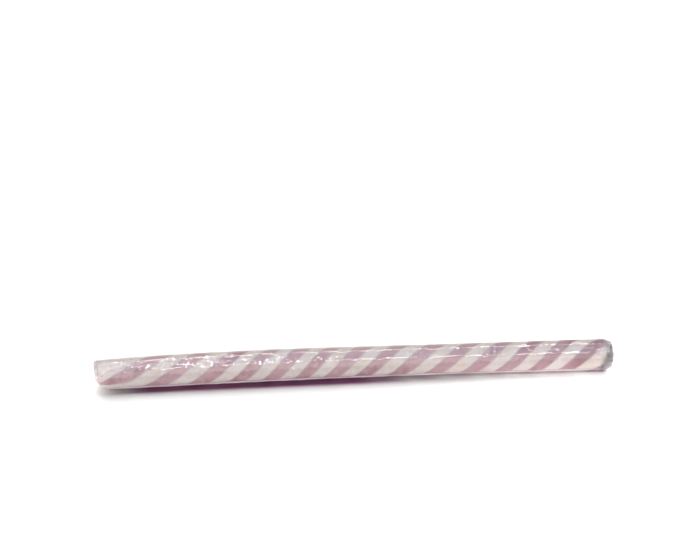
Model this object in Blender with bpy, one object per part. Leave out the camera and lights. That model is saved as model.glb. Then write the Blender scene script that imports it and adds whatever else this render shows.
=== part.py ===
"""A pulled hard candy stick, white with flush mauve stripes, lying on its side in its wrapper.

The stick runs along X and rests on a narrow flat at z = 0. The stripes are separate strips of
coloured candy, laid into channels that wind round the white body. The clear film follows the
candy all along, so only the pleats in which it is tucked over each end are pieces of their own.
Metres, +Z up, origin at the bottom centre of the whole.
"""

import math

import bpy

# The candy stick
CANDY_LENGTH = 0.1524  # six inches
CANDY_RADIUS = 0.00467
SWELL = 0.020  # share of the radius by which the pulled rope swells and thins
SWELL_WAVES = 1.25  # swellings along the stick
SWELL_START = 0.08  # share of the length where the first swelling starts
LEFT_TAPER = 0.045  # share of the radius that the left end is thinner
LEFT_TAPER_RUN = 0.05  # share of the length over which that fades
BOW = 0.0014  # how far the middle strays sideways from a straight line
BOW_CENTRE = 0.5  # share of the bow that lies on the far side of the origin
FLAT_DEPTH = 0.00016  # height of the strip pressed flat under the stick
LEFT_ROUND = (0.0006, 0.0003)  # rounded rim of the cut end: along the stick, and inwards
LEFT_ROUND_BELOW = (0.0045, 0.0019)  # the same where the left rim is worn most
WORN_SIDE = math.radians(-60.0)  # that place, from the front towards the top
RIGHT_ROUND = (0.0017, 0.0007)
ROUND_POWER = 1.9  # how steeply a rounded rim falls off
LEFT_SLANT = 0.03  # slope of the left cut
RIGHT_SLANT = 0.03
SLANT_RUN = 0.006  # length over which a slanted cut fades

# The stripes
STRIPES = 3
STRIPE_DEPTH = 0.0012
STRIPE_ARC = math.radians(61.0)  # width of a stripe, seen along the stick
STRIPE_ARC_CHANGE = 0.05  # share by which that width comes and goes
STRIPE_ARC_WAVES = 2.3  # how often it does so along the stick
SEAM = 0.00042  # room beside a stripe, measured round the stick
FLOOR_SEAM = 0.0003  # room under a stripe
STRIPE_LIFT = 0.00004  # a stripe's underside clears the ground by this much
CHANNEL_DRAFT = 0.05  # radians by which a channel narrows towards its floor

# The twist, in turns: it is tighter before the middle
TWIST_START = -0.355
TWIST_TURNS = 4.883
TWIST_WAVES = ((0.062, 1, math.radians(66.7)), (0.049, 2, math.radians(-3.7)))
# Each wave: turns, waves along the stick, phase
TWIST_ENDS = ((0.153, 0.0, 0.052), (-0.042, 1.0, 0.03))
# The stripes run straighter close to an end: turns, and the end and its reach as shares of length
VIEW_PHASE = math.radians(20.0)  # turns the whole pattern about the stick's axis

# The wrapper's tucked ends
FOLD_GAP = 0.0003  # room between the candy's end and the pleats
LEFT_FOLD = 0.0006  # thickness of the pleated pad
RIGHT_FOLD = 0.0015
FOLD_OVERHANG = 0.0001  # how far a pad stands out past the candy's end face
LEFT_FOLD_CROWN = (5.0, 1.5)  # exponents of the pad's profile, on the square and the worn side
RIGHT_FOLD_CROWN = (2.0, 2.4)
PLEATS = 9
PLEAT_HEIGHT = 0.16  # share of the pad's thickness
PLEAT_REACH = 0.035  # share of the pad's radius
PLEAT_WAVES = ((0.7, 1, 0.0), (0.3, 2, 1.0))  # share of the height, waves per pleat, phase
PLEAT_SWIRL = math.radians(55.0)  # the pleats lie over to one side

# Fineness
STATIONS = 88
LEFT_ROUND_STATIONS = 5
RIGHT_ROUND_STATIONS = 3
RIB_STEPS = 3
CHANNEL_STEPS = 3
STRIPE_STEPS = 4
STRIPE_BACK_STEPS = 2
FOLD_STEPS = 54
FOLD_RINGS = 5
SHARP_ANGLE = math.radians(40.0)  # edges sharper than this are shaded as edges

WHOLE_LENGTH = LEFT_FOLD + FOLD_GAP + CANDY_LENGTH + FOLD_GAP + RIGHT_FOLD
CANDY_START = -WHOLE_LENGTH / 2 + LEFT_FOLD + FOLD_GAP
CANDY_END = CANDY_START + CANDY_LENGTH
STRIPE_COLOUR = (0.50, 0.30, 0.36, 1.0)
WHITE_COLOUR = (0.80, 0.77, 0.73, 1.0)
FILM_COLOUR = (0.82, 0.82, 0.86, 1.0)
CANDY_ROUGHNESS = 0.35
FILM_ROUGHNESS = 0.15


def clear_scene():
    for thing in list(bpy.data.objects):
        bpy.data.objects.remove(thing, do_unlink=True)


def plain_material(name, colour, roughness):
    material = bpy.data.materials.new(name)
    material.use_nodes = True
    shader = material.node_tree.nodes["Principled BSDF"]
    shader.inputs["Base Color"].default_value = colour
    shader.inputs["Roughness"].default_value = roughness
    shader.inputs["Metallic"].default_value = 0.0
    return material


def full_radius(share):
    """Radius of the pulled rope at a share of its length, before the ends are rounded."""
    swell = SWELL * math.sin(2 * math.pi * SWELL_WAVES * (share - SWELL_START))
    taper = LEFT_TAPER * math.exp(-share / LEFT_TAPER_RUN)
    return CANDY_RADIUS * (1 + swell - taper)


def rounding(distance, run, depth):
    """How far the rim of a cut end draws in, at a distance from that end."""
    return depth * max(0.0, 1 - distance / run) ** ROUND_POWER


def worn_at(angle):
    """How worn an end is in one direction, 0 to 1."""
    return (1 + math.cos(angle - WORN_SIDE)) / 2


def radius_at(share, angle):
    """Radius of the candy at a share of its length, in one direction."""
    along = share * CANDY_LENGTH
    worn = worn_at(angle)
    run, depth = (a + worn * (b - a) for a, b in zip(LEFT_ROUND, LEFT_ROUND_BELOW))
    drawn_in = rounding(along, run, depth) + rounding(CANDY_LENGTH - along, *RIGHT_ROUND)
    return full_radius(share) - drawn_in


def axis_at(share):
    """Sideways place and height of the stick's axis."""
    sideways = BOW * (4 * share * (1 - share) - BOW_CENTRE)
    return sideways, full_radius(share) - FLAT_DEPTH


def slant_at(share):
    """Slope of the cross-section, which follows the slanted cut near each end."""
    along = share * CANDY_LENGTH
    left = max(0.0, 1 - along / SLANT_RUN) ** 2
    right = max(0.0, 1 - (CANDY_LENGTH - along) / SLANT_RUN) ** 2
    return -LEFT_SLANT * left + RIGHT_SLANT * right


def stripe_centre(share, stripe):
    """Angle of a stripe's middle, from the front (-Y) towards the top: a left-handed screw."""
    turns = TWIST_START + TWIST_TURNS * share - stripe / STRIPES
    for size, waves, phase in TWIST_WAVES:
        turns += size * math.cos(2 * math.pi * waves * share + phase)
    for size, end, reach in TWIST_ENDS:
        turns += size * math.exp(-(((share - end) / reach) ** 2))
    return VIEW_PHASE + 2 * math.pi * turns


def stripe_edges(share, stripe):
    """Angles of a stripe's two edges. Stripe -1 is the last one, a full turn further on."""
    change = math.sin(2 * math.pi * (STRIPE_ARC_WAVES * share + stripe / STRIPES))
    half = STRIPE_ARC / 2 * (1 + STRIPE_ARC_CHANGE * change)
    centre = stripe_centre(share, stripe)
    return centre - half, centre + half


def seam_angle(share, angle, depth=0.0):
    """Angle that the room beside a stripe takes up, at a depth under the skin."""
    return SEAM / (radius_at(share, angle) - depth)


def surface_point(share, radius, angle, lowest):
    """The point at a radius and an angle in the cross-section at a share of the length."""
    sideways, height = axis_at(share)
    rise = radius * math.sin(angle)
    x = CANDY_START + share * CANDY_LENGTH + slant_at(share) * rise
    return x, sideways - radius * math.cos(angle), max(height + rise, lowest)


def arc(share, depth, start, end, steps, lowest=0.0):
    """Points along an arc of a cross-section, both ends included, at a depth under the skin."""
    points = []
    for step in range(steps + 1):
        angle = start + (end - start) * step / steps
        points.append(surface_point(share, radius_at(share, angle) - depth, angle, lowest))
    return points


def channel_edges(share, stripe):
    """Angles of the two edges of a stripe's channel."""
    low, high = stripe_edges(share, stripe)
    return low - seam_angle(share, low), high + seam_angle(share, high)


def body_ring(share):
    """Outline of the white candy: the channel of a stripe, then a rib, three times over."""
    floor = STRIPE_DEPTH + FLOOR_SEAM
    points = []
    for stripe in reversed(range(STRIPES)):
        low, high = channel_edges(share, stripe)
        next_low = channel_edges(share, stripe - 1)[0]
        points += arc(share, floor, low + CHANNEL_DRAFT, high - CHANNEL_DRAFT, CHANNEL_STEPS)
        points += arc(share, 0.0, high, next_low, RIB_STEPS)
    return points


def stripe_ring(share, stripe):
    """Outline of one stripe: its outer face is flush with the candy round it."""
    low, high = stripe_edges(share, stripe)
    channel_low, channel_high = channel_edges(share, stripe)
    back_low = channel_low + CHANNEL_DRAFT + seam_angle(share, low, STRIPE_DEPTH)
    back_high = channel_high - CHANNEL_DRAFT - seam_angle(share, high, STRIPE_DEPTH)
    points = arc(share, 0.0, low, high, STRIPE_STEPS, STRIPE_LIFT)
    return points + arc(share, STRIPE_DEPTH, back_high, back_low, STRIPE_BACK_STEPS)


def rounded_stations(run, count):
    """Distances from a cut end over its rounded rim, closest together at the end."""
    return [run * (1 - math.cos(math.pi / 2 * step / count)) for step in range(count)]


def stations():
    """Shares of the length at which a cross-section is drawn, closer where an end rounds."""
    left, right = LEFT_ROUND_BELOW[0], RIGHT_ROUND[0]
    middle = CANDY_LENGTH - left - right
    places = rounded_stations(left, LEFT_ROUND_STATIONS)
    places += [left + middle * step / STATIONS for step in range(STATIONS + 1)]
    right_places = rounded_stations(right, RIGHT_ROUND_STATIONS)
    places += [CANDY_LENGTH - place for place in reversed(right_places)]
    return [place / CANDY_LENGTH for place in places]


def loft(name, rings, material, centres=None):
    """One closed body through equal rings, with each quad split along the twist."""
    count = len(rings[0])
    points = [point for ring in rings for point in ring]
    faces = []
    for low in range(0, count * (len(rings) - 1), count):
        for step in range(count):
            after = (step + 1) % count
            near, near_after = low + step, low + after
            far, far_after = near + count, near_after + count
            faces.append((near, far, near_after))
            faces.append((near_after, far, far_after))
    if centres:
        points += centres
        start, end = len(points) - 2, len(points) - 1
        last = count * (len(rings) - 1)
        for step in range(count):
            after = (step + 1) % count
            faces.append((start, step, after))
            faces.append((end, last + after, last + step))
    else:
        faces.append(tuple(range(count)))
        faces.append(tuple(reversed(range(count * (len(rings) - 1), count * len(rings)))))
    mesh = bpy.data.meshes.new(name)
    mesh.from_pydata(points, [], faces)
    mesh.validate()
    mesh.shade_smooth()
    mesh.set_sharp_from_angle(angle=SHARP_ANGLE)
    mesh.materials.append(material)
    piece = bpy.data.objects.new(name, mesh)
    bpy.context.scene.collection.objects.link(piece)
    return piece


def build_candy_body():
    material = plain_material("white_candy", WHITE_COLOUR, CANDY_ROUGHNESS)
    return loft("candy_body", [body_ring(share) for share in stations()], material)


def build_stripe(stripe, material):
    rings = [stripe_ring(share, stripe) for share in stations()]
    return loft(f"stripe_{stripe + 1}", rings, material)


def pleat(angle, reach):
    """Height of the pleats, -1 to 1, at an angle and a share of the way out to the rim."""
    lean = PLEATS * (angle + PLEAT_SWIRL * (1 - reach))
    return sum(size * math.cos(waves * lean + phase) for size, waves, phase in PLEAT_WAVES)


def build_fold(name, share, outwards, thickness, crowns, material):
    """The pad of pleated film over one end of the candy."""
    sideways, height = axis_at(share)
    slope = slant_at(share)
    back = (CANDY_START if outwards < 0 else CANDY_END) + outwards * FOLD_GAP

    def point(angle, reach, lift):
        rim = (radius_at(share, angle) + FOLD_OVERHANG) * reach
        rim *= 1 + PLEAT_REACH * pleat(angle, reach) * reach
        rise = rim * math.sin(angle)
        x = back + slope * rise + outwards * thickness * lift
        return x, sideways - rim * math.cos(angle), height + rise

    def front(angle, reach):
        crown = crowns[0] + worn_at(angle) * (crowns[1] - crowns[0])
        dome = (1 - reach**crown) ** (1 / crown)
        return dome * (1 - PLEAT_HEIGHT + PLEAT_HEIGHT * pleat(angle, reach) * reach)

    turn = 2 * math.pi / FOLD_STEPS
    angles = [turn * step for step in range(FOLD_STEPS)]
    rings = [[point(angle, 1.0, 0.0) for angle in angles]]
    for ring in range(1, FOLD_RINGS + 1):
        reach = math.cos(math.pi / 2 * ring / (FOLD_RINGS + 1))
        rings.append([point(angle, reach, front(angle, reach)) for angle in angles])
    if outwards < 0:
        rings = [list(reversed(ring)) for ring in rings]
    centres = [point(0.0, 0.0, 0.0), point(0.0, 0.0, 1 - PLEAT_HEIGHT)]
    return loft(name, rings, material, centres)


def main():
    clear_scene()
    build_candy_body()
    mauve = plain_material("mauve_candy", STRIPE_COLOUR, CANDY_ROUGHNESS)
    for stripe in range(STRIPES):
        build_stripe(stripe, mauve)
    film = plain_material("wrapper_film", FILM_COLOUR, FILM_ROUGHNESS)
    build_fold("wrapper_fold_left", 0.0, -1, LEFT_FOLD, LEFT_FOLD_CROWN, film)
    build_fold("wrapper_fold_right", 1.0, 1, RIGHT_FOLD, RIGHT_FOLD_CROWN, film)


main()
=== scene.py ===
"""Looks of the wrapped candy stick, in metres.

The white candy and its three inlaid stripes follow the same formulas as the CAD solids, and
replace them. One sheet of clear film replaces the two pleated tucks, and runs on over the stick
between them. The film's narrow lap is here alone.

Angles go round the stick's axis from the front (-Y) towards the top. A share is a part of the
candy's length, from its left end.
"""

import math

import bpy
import numpy as np
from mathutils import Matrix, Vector


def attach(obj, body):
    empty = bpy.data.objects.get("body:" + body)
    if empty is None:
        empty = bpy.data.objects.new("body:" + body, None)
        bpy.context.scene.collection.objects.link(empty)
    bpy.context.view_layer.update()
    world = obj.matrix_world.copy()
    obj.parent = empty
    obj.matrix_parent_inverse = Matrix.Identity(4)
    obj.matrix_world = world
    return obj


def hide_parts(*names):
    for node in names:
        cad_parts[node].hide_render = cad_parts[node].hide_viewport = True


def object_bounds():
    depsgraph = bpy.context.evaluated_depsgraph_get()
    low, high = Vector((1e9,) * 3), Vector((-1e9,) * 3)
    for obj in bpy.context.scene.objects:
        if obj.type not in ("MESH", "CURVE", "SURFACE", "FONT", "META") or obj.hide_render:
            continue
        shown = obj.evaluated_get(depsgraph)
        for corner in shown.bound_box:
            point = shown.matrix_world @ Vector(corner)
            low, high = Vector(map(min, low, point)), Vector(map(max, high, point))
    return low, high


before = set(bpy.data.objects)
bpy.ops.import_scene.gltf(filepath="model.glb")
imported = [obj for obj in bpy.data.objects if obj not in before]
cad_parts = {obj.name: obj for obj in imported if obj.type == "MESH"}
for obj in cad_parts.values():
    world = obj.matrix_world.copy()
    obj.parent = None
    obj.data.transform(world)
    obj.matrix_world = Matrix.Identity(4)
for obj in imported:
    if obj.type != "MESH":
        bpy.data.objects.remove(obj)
cad_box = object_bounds()

# The candy stick, as in the CAD model
CANDY_LENGTH = 0.1524
CANDY_RADIUS = 0.00467
SWELL = 0.020
SWELL_WAVES = 1.25
SWELL_START = 0.08
LEFT_TAPER = 0.045
LEFT_TAPER_RUN = 0.05
BOW = 0.0014
FLAT_DEPTH = 0.00016
LEFT_ROUND = (0.0006, 0.0003)  # the rounded rim's run along the stick, and its depth
LEFT_ROUND_BELOW = (0.0045, 0.0019)  # the same on the worn side
WORN_SIDE = math.radians(-60.0)
RIGHT_ROUND = (0.0017, 0.0007)
ROUND_POWER = 1.9
LEFT_SLANT = 0.03
RIGHT_SLANT = 0.03
SLANT_RUN = 0.006
STRIPES = 3
STRIPE_DEPTH = 0.0012
STRIPE_ARC = math.radians(61.0)
STRIPE_ARC_CHANGE = 0.05
STRIPE_ARC_WAVES = 2.3
TWIST_START = -0.355  # in turns, as are the sizes below
TWIST_TURNS = 4.883
TWIST_WAVES = ((0.062, 1, math.radians(66.7)), (0.049, 2, math.radians(-3.7)))  # size, waves, phase
TWIST_ENDS = ((0.153, 0.0, 0.052), (-0.042, 1.0, 0.03))  # size, place and reach
VIEW_PHASE = math.radians(20.0)
FOLD_GAP = 0.0003
LEFT_FOLD = 0.0006  # thickness of the tucked film over the end
RIGHT_FOLD = 0.0015
LEFT_FOLD_CROWN = (5.0, 1.5)  # how square its profile is, and the same on the worn side
RIGHT_FOLD_CROWN = (2.0, 2.4)
PLEATS = 9
PLEAT_SWIRL = math.radians(55.0)
WHOLE_LENGTH = LEFT_FOLD + FOLD_GAP + CANDY_LENGTH + FOLD_GAP + RIGHT_FOLD
CANDY_START = -WHOLE_LENGTH / 2 + LEFT_FOLD + FOLD_GAP

# The surfaces
CANDY_INSET = 0.00004  # the bare candy lies this far inside the CAD radius, under the film
CANDY_FLOOR = 0.00006  # the lowest height of the candy
FILM_OUT = 0.00003  # the film lies this far outside the CAD radius
FILM_FLOOR = 0.00001
EDGE_WANDER = math.radians(2.4)  # how far a stripe's edge strays to either side
PULL_MARKS = 0.000018  # height of the ridges that pulling leaves along the twist
CANDY_SHARP, LAP_SHARP = 40.0, 50.0  # degrees from which an edge isn't smoothed
SEED = 20


# ---------------------------------------------------------------- formulas of the stick


def full_radius(share):
    swell = SWELL * np.sin(2 * math.pi * SWELL_WAVES * (share - SWELL_START))
    taper = LEFT_TAPER * np.exp(-share / LEFT_TAPER_RUN)
    return CANDY_RADIUS * (1 + swell - taper)


def rounding(distance, run, depth):
    return depth * np.clip(1 - distance / run, 0.0, 1.0) ** ROUND_POWER


def worn_at(angle):
    return (1 + np.cos(angle - WORN_SIDE)) / 2


def radius_at(share, angle):
    """Radius of the candy at a share of its length, in one direction."""
    along = share * CANDY_LENGTH
    worn = worn_at(angle)
    run, depth = (a + worn * (b - a) for a, b in zip(LEFT_ROUND, LEFT_ROUND_BELOW))
    drawn_in = rounding(along, run, depth) + rounding(CANDY_LENGTH - along, *RIGHT_ROUND)
    return full_radius(share) - drawn_in


def axis_at(share):
    inside = np.clip(share, 0.0, 1.0)
    sideways = BOW * (4 * inside * (1 - inside) - 0.5)
    return sideways, full_radius(inside) - FLAT_DEPTH


def slant_at(share):
    along = share * CANDY_LENGTH
    left = np.clip(1 - along / SLANT_RUN, 0.0, 1.0) ** 2
    right = np.clip(1 - (CANDY_LENGTH - along) / SLANT_RUN, 0.0, 1.0) ** 2
    return -LEFT_SLANT * left + RIGHT_SLANT * right


def twist(share):
    turns = TWIST_START + TWIST_TURNS * share
    for size, waves, phase in TWIST_WAVES:
        turns = turns + size * np.cos(2 * math.pi * waves * share + phase)
    for size, end, reach in TWIST_ENDS:
        turns = turns + size * np.exp(-(((share - end) / reach) ** 2))
    return VIEW_PHASE + 2 * math.pi * turns


def ripples(seed, terms, places):
    """A sum of seeded sine waves, about -1 to 1. For each coordinate, places holds its values,
    the least and most waves over a span of 2 pi, and whether their number is whole."""
    draw = np.random.default_rng(seed)
    total = 0.0
    for _ in range(terms):
        wave = draw.uniform(0, 2 * math.pi)
        for values, least, most, whole in places:
            number = draw.uniform(least, most)
            wave = wave + values * (round(number) if whole else number)
        total = total + np.sin(wave)
    return total / math.sqrt(2 * terms)


def edge_wander(share, stripe, side):
    """How far, as an angle, an edge of a stripe strays from its place."""
    turn = share * 2 * math.pi
    seed = SEED + 10 * stripe + side
    slow = ripples(seed, 5, [(turn, 8, 22, False)])
    fine = ripples(seed + 100, 6, [(turn, 30, 90, False)])
    return EDGE_WANDER * (0.6 * slow + 0.4 * fine)


def stripe_edges(share, stripe):
    """The angles of a stripe's lower and upper edge."""
    centre = twist(share) - 2 * math.pi * stripe / STRIPES
    change = np.sin(2 * math.pi * (STRIPE_ARC_WAVES * share + stripe / STRIPES))
    half = STRIPE_ARC / 2 * (1 + STRIPE_ARC_CHANGE * change)
    low, high = (edge_wander(share, stripe, side) for side in (0, 1))
    return centre - half + low, centre + half + high


def pull_marks(share, angle):
    """Low ridges left by pulling, which run along the twist."""
    turn = share * 2 * math.pi
    ridges = ripples(SEED + 1, 9, [(angle - twist(share), 6, 26, True), (turn, -4, 4, False)])
    dents = ripples(SEED + 2, 9, [(angle, -5, 5, True), (turn, 12, 34, False)])
    return PULL_MARKS * (ridges + 0.8 * dents)


def wrapped(angle):
    """The same direction, from -pi to pi."""
    return (angle + math.pi) % (2 * math.pi) - math.pi


def surface(share, radius, angle, lowest):
    """Points at a radius and an angle in the cross-sections, as an array of x, y, z."""
    sideways, height = axis_at(share)
    rise = radius * np.sin(angle)
    x = CANDY_START + share * CANDY_LENGTH + slant_at(share) * rise
    y = sideways - radius * np.cos(angle)
    z = np.maximum(height + rise, lowest)
    return np.stack(np.broadcast_arrays(x, y, z), axis=-1)


# ---------------------------------------------------------------- meshes


def add_mesh(name, points, faces, attributes=None, sharp=None):
    mesh = bpy.data.meshes.new(name)
    mesh.from_pydata(points.reshape(-1, 3).tolist(), [], faces)
    mesh.shade_smooth()
    if sharp:
        mesh.set_sharp_from_angle(angle=math.radians(sharp))
    for key, values in (attributes or {}).items():
        layer = mesh.attributes.new(key, "FLOAT", "POINT")
        layer.data.foreach_set("value", np.ascontiguousarray(values, dtype=np.float32).ravel())
    piece = bpy.data.objects.new(name, mesh)
    bpy.context.scene.collection.objects.link(piece)
    return piece


def loft_faces(rings, count):
    """Quads between equal closed rings, outwards when a ring runs from front to top."""
    low = np.arange(rings - 1)[:, None] * count
    step = np.arange(count)[None, :]
    after = (step + 1) % count
    quads = np.stack(
        np.broadcast_arrays(low + step, low + count + step, low + count + after, low + after),
        axis=-1,
    )
    return quads.reshape(-1, 4).tolist()


def capped(faces, rings, count):
    """The same faces with a flat cap on both ends."""
    last = count * (rings - 1)
    return [*faces, list(range(count)), list(range(last + count - 1, last - 1, -1))]


def add_closed(name, points, attributes, sharp=None):
    """A closed piece through rings of points."""
    rings, count = points.shape[:2]
    faces = capped(loft_faces(rings, count), rings, count)
    return add_mesh(name, points, faces, attributes, sharp)


def rounded_places(run, count):
    """Distances from a cut end over its rounded rim, closest together at the end."""
    return run * (1 - np.cos(np.linspace(0, math.pi / 2, count, endpoint=False)))


def stations(middle_count, end_count):
    """Shares of the candy's length, closer together where its ends are rounded."""
    left, right = LEFT_ROUND_BELOW[0], RIGHT_ROUND[0]
    middle = np.linspace(left, CANDY_LENGTH - right, middle_count)
    end = CANDY_LENGTH - rounded_places(right, end_count)[::-1]
    return np.concatenate([rounded_places(left, end_count), middle, end])[:, None] / CANDY_LENGTH


def arc(share, start, end, steps, depth=0.0):
    """An arc of each cross-section, both ends included, at a depth under the candy's skin."""
    part = np.linspace(0, 1, steps + 1)[None, :]
    angle = start + (end - start) * part
    radius = radius_at(share, angle) - CANDY_INSET - depth + pull_marks(share, angle)
    return surface(share, radius, angle, CANDY_FLOOR), np.broadcast_to(part, angle.shape)


CANDY_STATIONS, CANDY_END_STATIONS = 540, 9
# Faces across a stripe, across the rib between two stripes, and under a stripe
STRIPE_STEPS, RIB_STEPS, BACK_STEPS = 14, 12, 4


def build_white(share):
    """The white candy: ribs flush with the stripes, and a channel under each stripe."""
    points, across = [], []
    for stripe in reversed(range(STRIPES)):
        low, high = stripe_edges(share, stripe)
        next_low = stripe_edges(share, (stripe - 1) % STRIPES)[0]
        if stripe == 0:
            next_low = next_low + 2 * math.pi
        channel, channel_part = arc(share, low, high, BACK_STEPS, STRIPE_DEPTH)
        rib, rib_part = arc(share, high, next_low, RIB_STEPS)
        points += [channel, rib]
        across += [np.zeros(channel_part.shape), rib_part]
    points = np.concatenate(points, axis=1)
    values = {
        "across": np.concatenate(across, axis=1),
        "along": np.broadcast_to(share, points.shape[:2]),
    }
    piece = add_closed("candy_white", points, values, CANDY_SHARP)
    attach(piece, "root")
    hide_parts("candy_body")
    return piece


def build_stripe(share, stripe):
    low, high = stripe_edges(share, stripe)
    top, part = arc(share, low, high, STRIPE_STEPS)
    back, back_part = arc(share, high, low, BACK_STEPS, STRIPE_DEPTH)
    points = np.concatenate([top, back], axis=1)
    values = {
        "across": np.concatenate([part, 1 - back_part], axis=1),
        "along": np.broadcast_to(share, points.shape[:2]),
    }
    piece = add_closed(f"candy_stripe_{stripe + 1}", points, values, CANDY_SHARP)
    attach(piece, "root")
    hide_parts(f"stripe_{stripe + 1}")
    return piece


# ---------------------------------------------------------------- film

FILM_AROUND = 144
SLEEVE_STATIONS = 660
SLEEVE_END_STATIONS = 24
TUCK_RINGS = 22
TUCK_CENTRE = 0.02  # the innermost ring, as a share of the way out to the rim
TAUT_RINGS = 54  # this many rings at each end span the hollows of the candy
PUCKERS = 1500
PUCKER_HEIGHT = 0.00008
PUCKER_SIZE = (0.00016, 0.00050)
PUCKER_STRETCH = (1.0, 2.6)
PUCKER_CROWDING = 1.7  # above 1, more of them lie towards the left end
TAUT_PUCKERS = 0.35  # share of a pucker's height that it keeps where the film is taut
SLACK_SIDE = math.radians(56.0)
SLACK_REACH = math.radians(42.0)
SLACK_BEHIND = 0.22  # share of the slackness that is left round the back
SLACK_EVEN = 0.24
SLACK_LEFT = (0.75, 0.38)  # how much is added at the left end, and how far it reaches
SLACK_RIGHT = (0.9, 0.05)
SLACK_PATCHES = 0.5
LONG_CREASES = 0.000038
SHORT_CREASES = (0.000010, 0.000016)  # everywhere, and added where the film is slack
GATHERS, GATHER_RUN = 0.00006, 0.004
LAYERS_LEFT, LAYERS_RIGHT = 0.0009, 0.0042  # how far the folded layers run past the rims
PLEAT_OUT = 0.03  # height of the pleats away from the axis, as a share of the radius
PLEAT_ALONG = 0.00010  # their height along the axis
PLEAT_RUN = 0.0006  # how far past the rim they reach it
LOWER_FRONT = math.radians(-40.0)


def film_path(angle):
    """How the film runs from the middle of one end to the middle of the other, at each angle:
    the share of the candy's length, below 0 and above 1 on the tucked ends, and how far out
    towards the rim."""
    tuck = np.sin(np.linspace(TUCK_CENTRE, 1.0, TUCK_RINGS)[:-1] * math.pi / 2)[:, None]
    lifts = []
    for square, worn in (LEFT_FOLD_CROWN, RIGHT_FOLD_CROWN):
        crown = square + worn_at(angle) * (worn - square)
        lifts.append((1 - tuck**crown) ** (1 / crown))
    sleeve = stations(SLEEVE_STATIONS, SLEEVE_END_STATIONS) * np.ones(angle.shape)
    share = np.concatenate([
        -(LEFT_FOLD + FOLD_GAP) * lifts[0] / CANDY_LENGTH,
        sleeve,
        1 + (RIGHT_FOLD + FOLD_GAP) * lifts[1][::-1] / CANDY_LENGTH,
    ])
    return share, np.concatenate([tuck, np.ones((len(sleeve), 1)), tuck[::-1]])


def slackness(share, angle):
    """How loosely the film lies, 0 to 1: most in the left third and at the right tip, and on
    the upper front."""
    turn, inside = share * 2 * math.pi, np.clip(share, 0, 1)
    patches = ripples(SEED + 6, 8, [(angle, -3, 3, True), (turn, 4, 18, False)])
    left = SLACK_LEFT[0] * np.exp(-((inside / SLACK_LEFT[1]) ** 2))
    right = SLACK_RIGHT[0] * np.exp(-(((1 - inside) / SLACK_RIGHT[1]) ** 2))
    off = wrapped(angle - SLACK_SIDE)
    side = SLACK_BEHIND + (1 - SLACK_BEHIND) * np.exp(-((off / SLACK_REACH) ** 2))
    return np.clip((SLACK_EVEN + left + right + SLACK_PATCHES * patches) * side, 0.0, 1.0)


def puckers(share, angle):
    """Small blisters where the film stands off the candy, thickest towards the left end."""
    draw = np.random.default_rng(SEED + 7)
    height = np.zeros(np.broadcast(share, angle).shape)
    angle = np.broadcast_to(angle, height.shape)
    for _ in range(PUCKERS):
        place = draw.random() ** PUCKER_CROWDING
        turn = draw.uniform(0, 2 * math.pi)
        size = draw.uniform(*PUCKER_SIZE)
        stretch = draw.uniform(*PUCKER_STRETCH)
        tall = PUCKER_HEIGHT * draw.uniform(0.3, 1.0)
        rows = np.abs(share.mean(axis=1) - place) * CANDY_LENGTH < 3 * size * stretch
        if not rows.any():
            continue
        dx = (share[rows] - place) * CANDY_LENGTH / stretch
        dy = wrapped(angle[rows] - turn) * CANDY_RADIUS
        height[rows] += tall * np.exp(-(dx**2 + dy**2) / size**2)
    return height


def film_relief(share, angle):
    """How far the film stands off its even path: creases, blisters and gathers at the ends."""
    turn = share * 2 * math.pi
    long_creases = ripples(SEED + 3, 18, [(angle, 2, 13, True), (turn, -42, 42, False)])
    short_creases = ripples(SEED + 4, 16, [(angle, -24, 24, True), (turn, 24, 110, False)])
    inside = np.clip(share, 0, 1) * CANDY_LENGTH
    near_end = np.exp(-inside / GATHER_RUN) + np.exp(-(CANDY_LENGTH - inside) / GATHER_RUN)
    gathers = ripples(SEED + 5, 10, [(angle, 9, 30, True), (turn, -3, 3, False)])
    slack = slackness(share, angle)
    short_height = SHORT_CREASES[0] + SHORT_CREASES[1] * slack
    relief = LONG_CREASES * long_creases + short_height * short_creases
    relief = relief + GATHERS * near_end * gathers
    return relief + (TAUT_PUCKERS + (1 - TAUT_PUCKERS) * slack) * puckers(share, angle)


def pleat(angle, reach):
    """The height of the pleats on a tuck, -1 to 1, in a swirl towards its middle."""
    lean = PLEATS * (angle + PLEAT_SWIRL * (1 - reach))
    return 0.7 * np.cos(lean) + 0.3 * np.cos(2 * lean + 1.0)


def film_layers(share):
    """Where the film lies in several layers, 0 to 1: on the tucks and a little past the rims."""
    along = share * CANDY_LENGTH
    left = np.clip(1 - along / LAYERS_LEFT, 0, 1)
    right = np.clip(1 - (CANDY_LENGTH - along) / LAYERS_RIGHT, 0, 1)
    return np.maximum(left, right) ** 1.5


def stretched(x, radius):
    """The profiles, one per column, with the hollows near both ends spanned in a straight line."""
    result = radius.copy()
    for rows in (np.arange(TAUT_RINGS), np.arange(len(x) - TAUT_RINGS, len(x))):
        for column in range(x.shape[1]):
            px, pr = x[rows, column], radius[rows, column]
            outline = []
            for i in range(len(rows)):
                while len(outline) > 1:
                    a, b = outline[-2:]
                    if (px[b] - px[a]) * (pr[i] - pr[a]) < (pr[b] - pr[a]) * (px[i] - px[a]):
                        break
                    outline.pop()
                outline.append(i)
            result[rows, column] = np.interp(px, px[outline], pr[outline])
    return result


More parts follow.
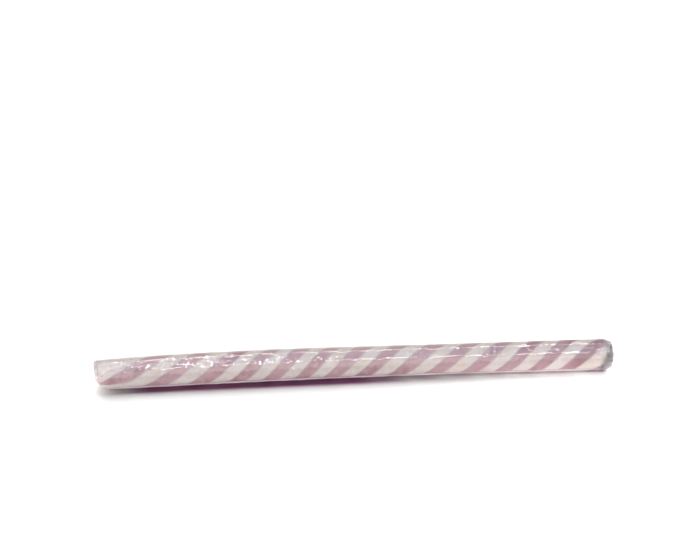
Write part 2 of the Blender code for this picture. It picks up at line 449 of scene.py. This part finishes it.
def build_film():
    """The film as one sheet: the sleeve along the stick, and a pleated tuck over each end."""
    angle = np.linspace(0, 2 * math.pi, FILM_AROUND, endpoint=False)[None, :]
    share, reach = film_path(angle)
    inside = np.clip(share, 0, 1)
    past_rim = np.maximum(-share, share - 1) * CANDY_LENGTH
    over_end = np.clip(past_rim / PLEAT_RUN, 0, 1) ** 2
    folds = pleat(angle, reach)
    relief = film_relief(share, angle) * reach
    rim = stretched(share, (radius_at(inside, angle) + FILM_OUT) * reach)
    rim = rim * (1 + PLEAT_OUT * over_end * folds) + relief
    sideways, height = axis_at(share)
    rise = rim * np.sin(angle)
    x = CANDY_START + share * CANDY_LENGTH + slant_at(inside) * rise
    x = x + over_end * PLEAT_ALONG * folds * reach * np.sign(share - 0.5)
    y = sideways - rim * np.cos(angle)
    z = np.maximum(height + rise, FILM_FLOOR)
    points = np.stack(np.broadcast_arrays(x, y, z), axis=-1)
    even = np.ones(points.shape[:2])
    values = {
        "layers": film_layers(share) * even,
        "slack": slackness(share, angle) * even,
        "folds": (0.5 + 0.5 * folds) * even,
        "right": (share > 0.5) * even,
        "below": (0.5 + 0.5 * np.cos(angle - LOWER_FRONT)) ** 3 * even,
        "past": np.clip((share - 1) * CANDY_LENGTH / (RIGHT_FOLD + FOLD_GAP), 0, 1) * even,
        "stripes": (0.5 + 0.5 * np.cos(STRIPES * (angle - twist(inside)))) * even,
    }
    piece = add_closed("wrapper_film", points, values)
    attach(piece, "root")
    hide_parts("wrapper_fold_left", "wrapper_fold_right")
    return piece


LAP_START = math.radians(-30.0)  # where the lap leaves the sleeve
LAP_WIDTH = 0.00052
LAP_LIFT = 0.00022  # how far the lap's free edge stands off
LAP_THICKNESS = 0.00004
LAP_STEPS = 8
LAP_STATIONS = 420
LAP_SPAN = (0.014, 0.985)
LAP_END_RUN = 0.04  # the lap narrows over this share at both ends
LAP_END_LEAST = 0.05
LAP_SWAY = math.radians(1.5)
LAP_WIDTH_CHANGE = (0.16, 0.07)  # with the slow wander, and with the fine fringe
LAP_CURL_CHANGE = (0.35, 0.25)


def build_lap():
    """The seam of the film: a narrow flap that lies along the lower front of the stick."""
    share = np.linspace(*LAP_SPAN, LAP_STATIONS)[:, None]
    turn = share * 2 * math.pi
    wander = ripples(SEED + 8, 6, [(turn, 1, 9, False)])
    fringe = ripples(SEED + 9, 8, [(turn, 12, 60, False)])
    widening, curl = (
        1 + slow * wander + fine * fringe for slow, fine in (LAP_WIDTH_CHANGE, LAP_CURL_CHANGE)
    )
    from_end = np.minimum(share - LAP_SPAN[0], LAP_SPAN[1] - share)
    ends = np.clip(from_end / LAP_END_RUN, LAP_END_LEAST, 1.0)
    width = LAP_WIDTH * widening * np.sqrt(ends)
    part = np.linspace(0, 1, LAP_STEPS + 1)[None, :]
    angle = LAP_START + LAP_SWAY * wander - part * width / CANDY_RADIUS
    radius = radius_at(share, angle) + FILM_OUT + np.maximum(film_relief(share, angle), 0.0)
    outer = radius + LAP_THICKNESS + LAP_LIFT * part**1.2 * curl * ends
    top = surface(share, outer, angle, FILM_FLOOR)
    under = surface(share, outer - LAP_THICKNESS, angle, FILM_FLOOR)
    points = np.concatenate([top[:, ::-1], under], axis=1)
    edge = np.broadcast_to(part, angle.shape)
    values = {
        "edge": np.concatenate([edge[:, ::-1], edge], axis=1),
        "outer": np.concatenate([np.ones(edge.shape), np.zeros(edge.shape)], axis=1),
    }
    piece = add_closed("wrapper_lap", points, values, LAP_SHARP)
    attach(piece, "root")
    return piece


# ---------------------------------------------------------------- materials


class Nodes:
    """Short words for building a material's node tree."""

    def __init__(self, name):
        self.material = bpy.data.materials.new(name)
        self.material.use_nodes = True
        self.tree = self.material.node_tree
        self.tree.nodes.clear()
        self.output = self.tree.nodes.new("ShaderNodeOutputMaterial")

    def add(self, kind, settings=None, **inputs):
        node = self.tree.nodes.new(f"ShaderNode{kind}")
        for key, value in (settings or {}).items():
            setattr(node, key, value)
        for key, value in inputs.items():
            self.feed(node.inputs[key.replace("_", " ")], value)
        return node

    def feed(self, socket, value):
        if isinstance(value, bpy.types.NodeSocket):
            self.tree.links.new(value, socket)
        else:
            socket.default_value = value

    def maths(self, operation, a, b=0.0, clamp=False):
        node = self.tree.nodes.new("ShaderNodeMath")
        node.operation = operation
        node.use_clamp = clamp
        self.feed(node.inputs[0], a)
        self.feed(node.inputs[1], b)
        return node.outputs[0]

    def times(self, a, b, clamp=False):
        return self.maths("MULTIPLY", a, b, clamp)

    def plus(self, a, b, clamp=False):
        return self.maths("ADD", a, b, clamp)

    def minus(self, a, b):
        return self.maths("SUBTRACT", a, b)

    def most(self, a, b):
        return self.maths("MAXIMUM", a, b)

    def ramp(self, value, low, high, start=0.0, end=1.0):
        """value from low to high becomes start to end, eased at both."""
        node = self.tree.nodes.new("ShaderNodeMapRange")
        node.interpolation_type = "SMOOTHSTEP"
        numbers = {"Value": value, "From Min": low, "From Max": high, "To Min": start, "To Max": end}
        for key, number in numbers.items():
            self.feed(node.inputs[key], number)
        return node.outputs[0]

    def vector(self, operation, a, b=None):
        node = self.tree.nodes.new("ShaderNodeVectorMath")
        node.operation = operation
        self.feed(node.inputs[0], a)
        if b is not None:
            self.feed(node.inputs["Scale" if operation == "SCALE" else 1], b)
        return node.outputs[0]

    def mix(self, share, a, b):
        node = self.tree.nodes.new("ShaderNodeMix")
        node.data_type = "RGBA"
        self.feed(node.inputs[0], share)
        self.feed(node.inputs[6], a)
        self.feed(node.inputs[7], b)
        return node.outputs[2]

    def blend(self, share, a, b):
        """Two shaders, with the share going to the second."""
        node = self.add("MixShader")
        for socket, value in zip(node.inputs, (share, a, b)):
            self.feed(socket, value)
        return node.outputs[0]

    def value(self, name):
        """A value that the mesh holds at its points."""
        return self.add("Attribute", {"attribute_name": name}).outputs["Fac"]

    def noise(self, vector, scale, detail=3.0, roughness=0.5):
        node = self.add("TexNoise", Vector=vector, Scale=scale, Detail=detail, Roughness=roughness)
        return node.outputs["Fac"]

    def finish(self, shader):
        self.tree.links.new(shader, self.output.inputs["Surface"])
        return self.material


def colour(red, green, blue):
    """A linear colour from 0 to 255 display values."""
    values = [c / 255 for c in (red, green, blue)]
    linear = [c / 12.92 if c <= 0.04045 else ((c + 0.055) / 1.055) ** 2.4 for c in values]
    return (*linear, 1.0)


WHITE = colour(236, 226, 221)
CREAM = colour(230, 212, 199)
MAUVE = colour(198, 153, 160)
# Darker mauve for random patches, and for painted shade towards the right end
DEEP_AND_SHADED_MAUVE = colour(162, 106, 117)
SHADED_END_MAUVE = colour(144, 84, 98)  # painted shade on the last stretch before the right end
PALE_MAUVE = colour(206, 168, 174)
SEAM_COLOUR = colour(214, 190, 194)
SEAM_GREY = colour(180, 158, 162)
FILM_HAZE = colour(206, 196, 208)
PAINTED_SHADOW_MAUVE = colour(203, 143, 190)  # painted shadow: mauve on the floor close under the stick, for the candy's tint in its shadow
FLOOR_GREY = colour(250, 250, 250)
FLOOR_WHITE = colour(253, 252, 253)
LAP_PINK = colour(247, 224, 235)
LAP_PALE = colour(252, 236, 244)
TUCK_WHITE = colour(224, 216, 217)
TUCK_LILAC = colour(207, 184, 195)
TUCK_PALE = colour(196, 187, 190)
# Painted shade for the right tuck: its pleats' valleys, a crescent past the rim and its lower corner
TUCK_SHADE = colour(132, 124, 128)
# Painted highlight: the colour of the glints on crumpled film
PAINTED_GLINT = colour(253, 234, 246)

MIDDLE = (0.5, 0.5, 0.5)  # of a colour that varies by chance
FILM_IOR = 1.5
MIRROR_MOST = 0.2  # the most that the film mirrors by Fresnel, before the gain
CLEAR = (0.985, 0.98, 0.985, 1.0)
# The strip of floor with the painted shadow: where it begins and where it ends, each over a distance
SHADOW_PAINT_ACROSS = ((-0.0056, -0.0034), (0.0, 0.002))
SHADOW_PAINT_ALONG = ((-0.071, -0.060), (-0.004, 0.02))


def millimetres(n):
    """Coordinates fixed to the piece, in millimetres."""
    place = n.add("TexCoord").outputs["Object"]
    return n.add("Mapping", Vector=place, Scale=(1000.0, 1000.0, 1000.0)).outputs["Vector"]


def candy_shader(n, base, fine):
    """Pulled sugar: a little translucent, and uneven with the fine noise."""
    normal = n.add("Bump", Strength=0.15, Distance=0.0001, Height=fine).outputs["Normal"]
    shader = n.add(
        "BsdfPrincipled",
        {"subsurface_method": "RANDOM_WALK"},
        Base_Color=base,
        Roughness=n.ramp(fine, 0.3, 0.7, 0.34, 0.48),
        Normal=normal,
        Subsurface_Weight=0.4,
        Subsurface_Radius=(1.0, 0.62, 0.5),
        Subsurface_Scale=0.0007,
    )
    shader.inputs["Specular IOR Level"].default_value = 0.25
    return shader.outputs["BSDF"]


def white_material():
    """White with creamy blotches, and stained a little beside the stripes."""
    n = Nodes("white_pulled_sugar")
    place = millimetres(n)
    across, fine = n.value("across"), n.noise(place, 2.2, 3.0, 0.6)
    base = n.mix(n.ramp(n.noise(place, 0.35, 4.0, 0.6), 0.38, 0.70), WHITE, CREAM)
    edge = n.maths("MINIMUM", across, n.minus(1.0, across))
    wander = n.times(n.minus(fine, 0.5), 0.08)
    near = n.ramp(n.plus(edge, wander), 0.0, 0.12, 1.0, 0.0)
    near = n.times(near, n.ramp(n.value("along"), 0.02, 0.075, 0.0, 0.8))
    base = n.mix(near, base, SEAM_COLOUR)
    return n.finish(candy_shader(n, base, fine))


def mauve_material():
    """Blotchy mauve, darkened towards the right end by painted shade, and pale or greyish at a
    stripe's edges. The colour narrows to part of the stripe at the left end, with white beside it."""
    n = Nodes("mauve_pulled_sugar")
    place = millimetres(n)
    along, fine = n.value("along"), n.noise(place, 2.6, 3.0, 0.6)
    shown = n.ramp(along, 0.006, 0.075, 0.38, 1.0)
    across = n.plus(n.maths("DIVIDE", n.minus(n.value("across"), 0.5), shown), 0.5)
    base = n.mix(n.ramp(n.noise(place, 0.45, 4.0, 0.62), 0.36, 0.66), PALE_MAUVE, MAUVE)
    patches = n.ramp(n.noise(place, 0.16, 3.0, 0.6), 0.50, 0.68)
    # Painted shade: darker towards the right end, most over the last stretch, with random darker
    # patches added
    deep_and_shaded = n.plus(n.ramp(along, 0.60, 1.0, 0.0, 0.5), n.ramp(along, 0.90, 0.95, 0.0, 0.6))
    deep_and_shaded = n.plus(deep_and_shaded, n.times(patches, 0.7), clamp=True)
    base = n.mix(n.times(deep_and_shaded, 0.9), base, DEEP_AND_SHADED_MAUVE)
    base = n.mix(n.ramp(along, 0.925, 0.965, 0.0, 0.6), base, SHADED_END_MAUVE)
    across = n.plus(across, n.times(n.minus(fine, 0.5), 0.10))
    lower = n.ramp(across, 0.0, 0.14, 1.0, 0.0)
    base = n.mix(n.times(lower, 0.8), base, SEAM_COLOUR)
    from_top = n.minus(1.0, across)
    grey = n.ramp(from_top, 0.05, 0.26, 1.0, 0.0)
    base = n.mix(n.times(grey, 0.5), base, SEAM_GREY)
    upper = n.ramp(from_top, 0.0, 0.10, 1.0, 0.0)
    base = n.mix(n.times(upper, 0.75), base, SEAM_COLOUR)
    beyond = n.maths("ABSOLUTE", n.minus(across, 0.5))
    base = n.mix(n.ramp(beyond, 0.53, 0.60), base, WHITE)
    return n.finish(candy_shader(n, base, fine))


def facets(n, place, tilt):
    """A normal that leans a different way on each small facet of crumpled film."""
    normal = n.add("NewGeometry").outputs["Normal"]
    for size, share in ((0.6, 0.5), (1.5, 1.0)):
        cells = n.add("TexVoronoi", Vector=place, Scale=size).outputs["Color"]
        lean = n.vector("SCALE", n.vector("SUBTRACT", cells, MIDDLE), n.times(tilt, share))
        normal = n.vector("ADD", normal, lean)
    return n.vector("NORMALIZE", normal)


def glints(n, place, amount, stretch, scale, reach):
    """Painted highlights: small spots, drawn out along the stick, that stand in for the light crumpled
    film throws back. A share of the cells of a pattern holds one, more of them where the amount is
    high."""
    drawn_out = n.add("Mapping", Vector=place, Scale=(1 / stretch, 1.0, 1.0)).outputs["Vector"]
    cells = n.add("TexVoronoi", Vector=drawn_out, Scale=scale)
    chance = n.add("SeparateColor", Color=cells.outputs["Color"]).outputs
    size = n.ramp(chance[1], 0.0, 1.0, 0.45 * reach, reach)
    spot = n.ramp(n.minus(size, cells.outputs["Distance"]), 0.0, 0.25 * reach)
    spot = n.times(spot, n.ramp(chance[2], 0.0, 1.0, 0.3, 1.0))
    return n.times(spot, n.maths("GREATER_THAN", amount, chance[0]))


def film_shader(n, normal, milk, haze, gain):
    """Clear film: a mirror share by Fresnel, over haze mixed into clear transmission."""
    mirror = n.add("Fresnel", IOR=FILM_IOR, Normal=normal).outputs["Fac"]
    mirror = n.maths("MINIMUM", mirror, MIRROR_MOST)
    outside = n.minus(1.0, n.add("NewGeometry").outputs["Backfacing"])
    share = n.times(n.times(mirror, outside), gain, clamp=True)
    gloss = n.add("BsdfAnisotropic", Roughness=0.10, Normal=normal, Color=(1, 1, 1, 1)).outputs["BSDF"]
    veil = n.add("BsdfDiffuse", Color=haze, Normal=normal).outputs["BSDF"]
    clear = n.add("BsdfTransparent", Color=CLEAR).outputs["BSDF"]
    return n.blend(share, n.blend(milk, clear, veil), gloss)


def film_glints(n, place, slack, layers):
    """Small and large painted glints with torn outlines: many where the film is slack, few on a tuck.
    """
    torn = n.add("TexNoise", Vector=place, Scale=2.4, Detail=1.0).outputs["Color"]
    torn = n.vector("ADD", place, n.vector("SUBTRACT", torn, MIDDLE))
    small = glints(n, torn, n.ramp(slack, 0.22, 0.85, 0.0, 0.62), 1.5, 1.35, 0.54)
    large = glints(n, torn, n.ramp(slack, 0.25, 0.95, 0.0, 0.38), 3.2, 0.9, 0.36)
    return n.times(n.most(small, large), n.ramp(layers, 0.0, 0.5, 1.0, 0.3))


def film_material():
    """Clear film, a little milky where it is slack, greyer and more opaque on the tucks. The right
    tuck has painted shade in the valleys of its pleats, in a crescent just past the rim and at its
    lower corner, and painted glints stand in for highlights on the crumpled film."""
    n = Nodes("clear_film")
    place = millimetres(n)
    layers, slack, right = n.value("layers"), n.value("slack"), n.value("right")
    normal = facets(n, place, n.ramp(slack, 0.45, 1.0, 0.004, 0.24))
    # Painted highlights: bright spots in the veil, which also raise the mirror share a little
    painted_glint = film_glints(n, place, slack, layers)

    # Painted shade on the right tuck: in the valleys of its pleats, in a crescent just past the rim
    # and at its lower corner
    pleats = n.ramp(n.value("folds"), 0.15, 0.6, 1.0, 0.0)
    pleats = n.times(n.times(pleats, n.ramp(right, 0.0, 1.0, 0.1, 0.4)), layers)
    past = n.value("past")
    crescent = n.times(n.ramp(past, 0.02, 0.15), n.ramp(past, 0.50, 0.80, 1.0, 0.0))
    crescent = n.times(crescent, right)
    corner = n.times(n.ramp(n.times(n.value("below"), layers), 0.06, 0.35), right)
    dark = n.most(pleats, n.most(crescent, corner))
    stained = n.mix(n.ramp(n.value("stripes"), 0.35, 0.65), TUCK_WHITE, TUCK_LILAC)
    tuck = n.mix(dark, n.mix(right, stained, TUCK_PALE), TUCK_SHADE)
    haze = n.mix(n.ramp(layers, 0.0, 0.3), FILM_HAZE, tuck)
    haze = n.mix(n.ramp(painted_glint, 0.0, 0.25), haze, PAINTED_GLINT)

    tip = n.ramp(n.noise(place, 2.6, 2.0, 0.5), 0.4, 0.6, 0.0, 0.25)
    tip = n.times(n.times(slack, right), tip)
    milk = n.plus(n.ramp(slack, 0.0, 1.0, 0.02, 0.10), tip)
    milk = n.plus(milk, n.times(layers, n.ramp(right, 0.0, 1.0, 0.55, 0.45)), clamp=True)
    milk = n.plus(milk, n.most(n.times(crescent, 0.3), n.times(corner, 0.38)), clamp=True)
    milk = n.most(milk, n.times(painted_glint, 0.78))
    gain = n.plus(n.ramp(layers, 0.0, 1.0, 1.25, 1.8), n.times(painted_glint, 0.4))
    return n.finish(film_shader(n, normal, milk, haze, gain))


def lap_material():
    """Pinkish, milky film, clearer where the lap joins the sleeve and underneath."""
    n = Nodes("film_lap")
    place = millimetres(n)
    fine = n.noise(place, 1.8, 4.0, 0.65)
    milk = n.plus(n.ramp(n.value("edge"), 0.0, 0.4, 0.2, 0.8), n.times(fine, 0.16))
    milk = n.times(milk, n.value("outer"))
    haze = n.mix(fine, LAP_PINK, LAP_PALE)
    return n.finish(film_shader(n, facets(n, place, 0.05), milk, haze, 0.5))


def floor_material():
    """Nearly white, with a painted mauve shadow in a strip close in front of the stick's left half."""
    n = Nodes("pale_floor")
    place = n.add("TexCoord").outputs["Object"]
    base = n.mix(n.noise(place, 40.0), FLOOR_GREY, FLOOR_WHITE)
    along, across = n.add("SeparateXYZ", Vector=place).outputs[:2]
    # Painted shadow: the floor turns mauve where the stick's shadow falls in front of it
    near, beside = (
        n.times(n.ramp(value, *begins), n.ramp(value, *ends, 1.0, 0.0))
        for value, (begins, ends) in ((across, SHADOW_PAINT_ACROSS), (along, SHADOW_PAINT_ALONG))
    )
    base = n.mix(n.times(near, beside), base, PAINTED_SHADOW_MAUVE)
    shader = n.add("BsdfPrincipled", Base_Color=base, Roughness=0.9)
    shader.inputs["Specular IOR Level"].default_value = 0.1
    return n.finish(shader.outputs["BSDF"])


def dress(piece, material):
    piece.data.materials.clear()
    piece.data.materials.append(material)


# ---------------------------------------------------------------- camera, floor and light

CAMERA_ELEVATION = math.radians(30.0)
CAMERA_AZIMUTH = math.radians(4.65)
CAMERA_DISTANCE = 0.75
FRAME_PIXELS = (700, 560)
MILLIMETRES_PER_PIXEL = 0.2985
STICK_PIXEL = (355.0, 361.6)  # where the middle of the stick is in the picture
SENSOR = 36.0
FLOOR_HALF = 3.0
LIGHT_DISTANCE = 0.65


def build_camera():
    """The photo's view: the stick in its place and at its scale in the picture."""
    lo, hi = cad_box
    middle = Vector(((lo.x + hi.x) / 2, (lo.y + hi.y) / 2 + BOW / 2, (lo.z + hi.z) / 2))
    tilt, turn = CAMERA_ELEVATION, CAMERA_AZIMUTH
    back = Vector((-math.sin(turn) * math.cos(tilt), -math.cos(turn) * math.cos(tilt), math.sin(tilt)))
    right = Vector((math.cos(turn), -math.sin(turn), 0.0))
    up = back.cross(right)
    scale = MILLIMETRES_PER_PIXEL / 1000
    offset = (STICK_PIXEL[0] - FRAME_PIXELS[0] / 2, STICK_PIXEL[1] - FRAME_PIXELS[1] / 2)
    aim = middle - right * (offset[0] * scale) + up * (offset[1] * scale)
    data = bpy.data.cameras.new("camera")
    data.sensor_width = SENSOR
    data.lens = SENSOR * CAMERA_DISTANCE / (FRAME_PIXELS[0] * scale)
    data.clip_start, data.clip_end = 0.01, 20.0
    camera = bpy.data.objects.new("camera", data)
    camera.location = middle + back * CAMERA_DISTANCE
    camera.rotation_mode = "QUATERNION"
    camera.rotation_quaternion = (camera.location - aim).to_track_quat("Z", "Y")
    bpy.context.scene.collection.objects.link(camera)
    bpy.context.scene.camera = camera


def build_floor():
    points = FLOOR_HALF * np.array([(-1, -1, 0), (1, -1, 0), (1, 1, 0), (-1, 1, 0)])
    floor = add_mesh("floor", points, [[0, 1, 2, 3]])
    dress(floor, floor_material())
    return floor


def build_light(name, radiance, size, elevation, tint=(1, 1, 1), shift=0.0):
    """A rectangular light that faces the stick: elevation goes up from the front over the top.
    size is its width across the stick and its length along it, shift its place along it."""
    data = bpy.data.lights.new(name, "AREA")
    data.shape = "RECTANGLE"
    data.size, data.size_y = size
    data.energy = radiance * math.pi * size[0] * size[1]
    data.color = tint
    light = bpy.data.objects.new(name, data)
    rise = math.radians(elevation)
    away = LIGHT_DISTANCE
    light.location = Vector((shift, -math.cos(rise) * away, math.sin(rise) * away))
    light.rotation_mode = "QUATERNION"
    light.rotation_quaternion = light.location.to_track_quat("Z", "X")
    bpy.context.scene.collection.objects.link(light)
    return light


def only_gloss(light):
    """The light only shows as a reflection."""
    light.visible_diffuse = False
    light.visible_transmission = False


def no_gloss(light):
    light.visible_glossy = False


def light_only(light, pieces, own_shadows=False):
    """The light reaches these pieces and nothing else, and with own_shadows only they block it."""
    group = bpy.data.collections.new(light.name + "_on")
    for piece in pieces:
        group.objects.link(piece)
    light.light_linking.receiver_collection = group
    if own_shadows:
        light.light_linking.blocker_collection = group


def build_sun(name, irradiance, elevation, spread, azimuth=0.0):
    """Even light from far off, elevation going up from the front over the top."""
    data = bpy.data.lights.new(name, "SUN")
    data.energy = irradiance * math.pi
    data.angle = math.radians(spread)
    light = bpy.data.objects.new(name, data)
    rise, turn = math.radians(elevation), math.radians(azimuth)
    towards = Vector((math.sin(turn), -math.cos(rise) * math.cos(turn), math.sin(rise)))
    light.rotation_mode = "QUATERNION"
    light.rotation_quaternion = towards.to_track_quat("Z", "X")
    bpy.context.scene.collection.objects.link(light)
    return light


def build_spot(name, power, place, aim, cone, softness, blend):
    data = bpy.data.lights.new(name, "SPOT")
    data.energy = power
    data.spot_size, data.spot_blend = math.radians(cone), blend
    data.shadow_soft_size = softness
    light = bpy.data.objects.new(name, data)
    light.location = place
    light.rotation_mode = "QUATERNION"
    light.rotation_quaternion = (Vector(place) - Vector(aim)).to_track_quat("Z", "Y")
    bpy.context.scene.collection.objects.link(light)
    return light


# The wash on the floor has the key's direction, and makes the floor white beside the shadow
SUN = (112.0, 58.0, 8.0)  # elevation, spread and azimuth in degrees
KEY, WASH, BACKGROUND = 0.47, 0.71, 0.9
FRONT_FILL, LOW_FILL, END_FILL, LAP_FILL = 0.39, 0.55, 0.30, 1.5
WARM, WARMER, PINKISH = (1.0, 0.985, 0.97), (1.0, 0.97, 0.95), (1.0, 0.97, 0.97)

# Lights on the floor, which thin the shadow at both ends as in the photo:
# name, power, place, aim, cone in degrees, size, blend
GLOWS = (
    ("right_glow", 3.8, (0.12, -0.22, 0.32), (0.092, 0.0, 0.0), 21.0, 0.035, 0.9),
    ("right_low_glow", 3.5, (0.20, -0.40, 0.13), (0.085, 0.0, 0.0), 20.0, 0.03, 0.9),
    ("left_glow", 4.0, (-0.30, -0.20, 0.25), (-0.086, -0.003, 0.0), 3.4, 0.004, 0.45),
)

# What the film mirrors: name, radiance, size, elevation, tint, shift
MIRRORED = (
    ("card", 1.2, (0.72, 1.4), 84.0, (0.55, 0.75, 1.0), 0.0),
    ("front_tube", 29.0, (0.03, 1.3), 50.0, (1, 1, 1), 0.0),
    ("rear_tube", 17.0, (0.04, 1.3), 120.0, (1, 1, 1), 0.0),
    ("front_card", 2.0, (0.45, 1.4), 20.0, (1.0, 0.96, 0.94), 0.0),
    ("left_tube", 29.0, (0.05, 0.18), 78.0, (1, 1, 1), -0.09),
    ("tip_lamp", 29.0, (0.06, 0.05), 74.0, (1, 1, 1), 0.18),
)


def build_lights(floor, stick, lap):
    """stick holds the candy and the film."""
    no_gloss(build_sun("key", KEY, *SUN))
    on_floor = [build_sun("floor_wash", WASH, *SUN)]
    on_floor += [build_spot(*row) for row in GLOWS]
    for light in on_floor:
        no_gloss(light)
        light_only(light, [floor])
    fills = [
        build_light("front_fill", FRONT_FILL, (0.8, 1.5), 45.0, WARM),
        build_light("low_fill", LOW_FILL, (0.3, 1.5), -8.0, WARMER, -0.2),
        build_sun("left_end_fill", END_FILL, 15.0, 40.0, -75.0),
    ]
    for light in fills:
        no_gloss(light)
        light_only(light, [*stick, lap], own_shadows=True)
    lap_fill = build_light("lap_fill", LAP_FILL, (0.3, 1.5), -8.0, PINKISH)
    no_gloss(lap_fill)
    light_only(lap_fill, [lap], own_shadows=True)
    for row in MIRRORED:
        only_gloss(build_light(*row))


def build_world():
    world = bpy.data.worlds.new("studio")
    bpy.context.scene.world = world
    world.use_nodes = True
    background = world.node_tree.nodes["Background"]
    background.inputs["Color"].default_value = (1.0, 1.0, 1.0, 1.0)
    background.inputs["Strength"].default_value = BACKGROUND
    world.cycles_visibility.diffuse = False
    bpy.context.scene.view_settings.view_transform = "Standard"


def main():
    build_camera()
    floor = build_floor()
    share = stations(CANDY_STATIONS, CANDY_END_STATIONS)
    candy = [build_white(share)]
    dress(candy[0], white_material())
    mauve = mauve_material()
    for stripe in range(STRIPES):
        candy.append(build_stripe(share, stripe))
        dress(candy[-1], mauve)
    film, lap = build_film(), build_lap()
    dress(film, film_material())
    dress(lap, lap_material())
    film.visible_shadow = False
    build_lights(floor, [*candy, film], lap)
    build_world()


main()
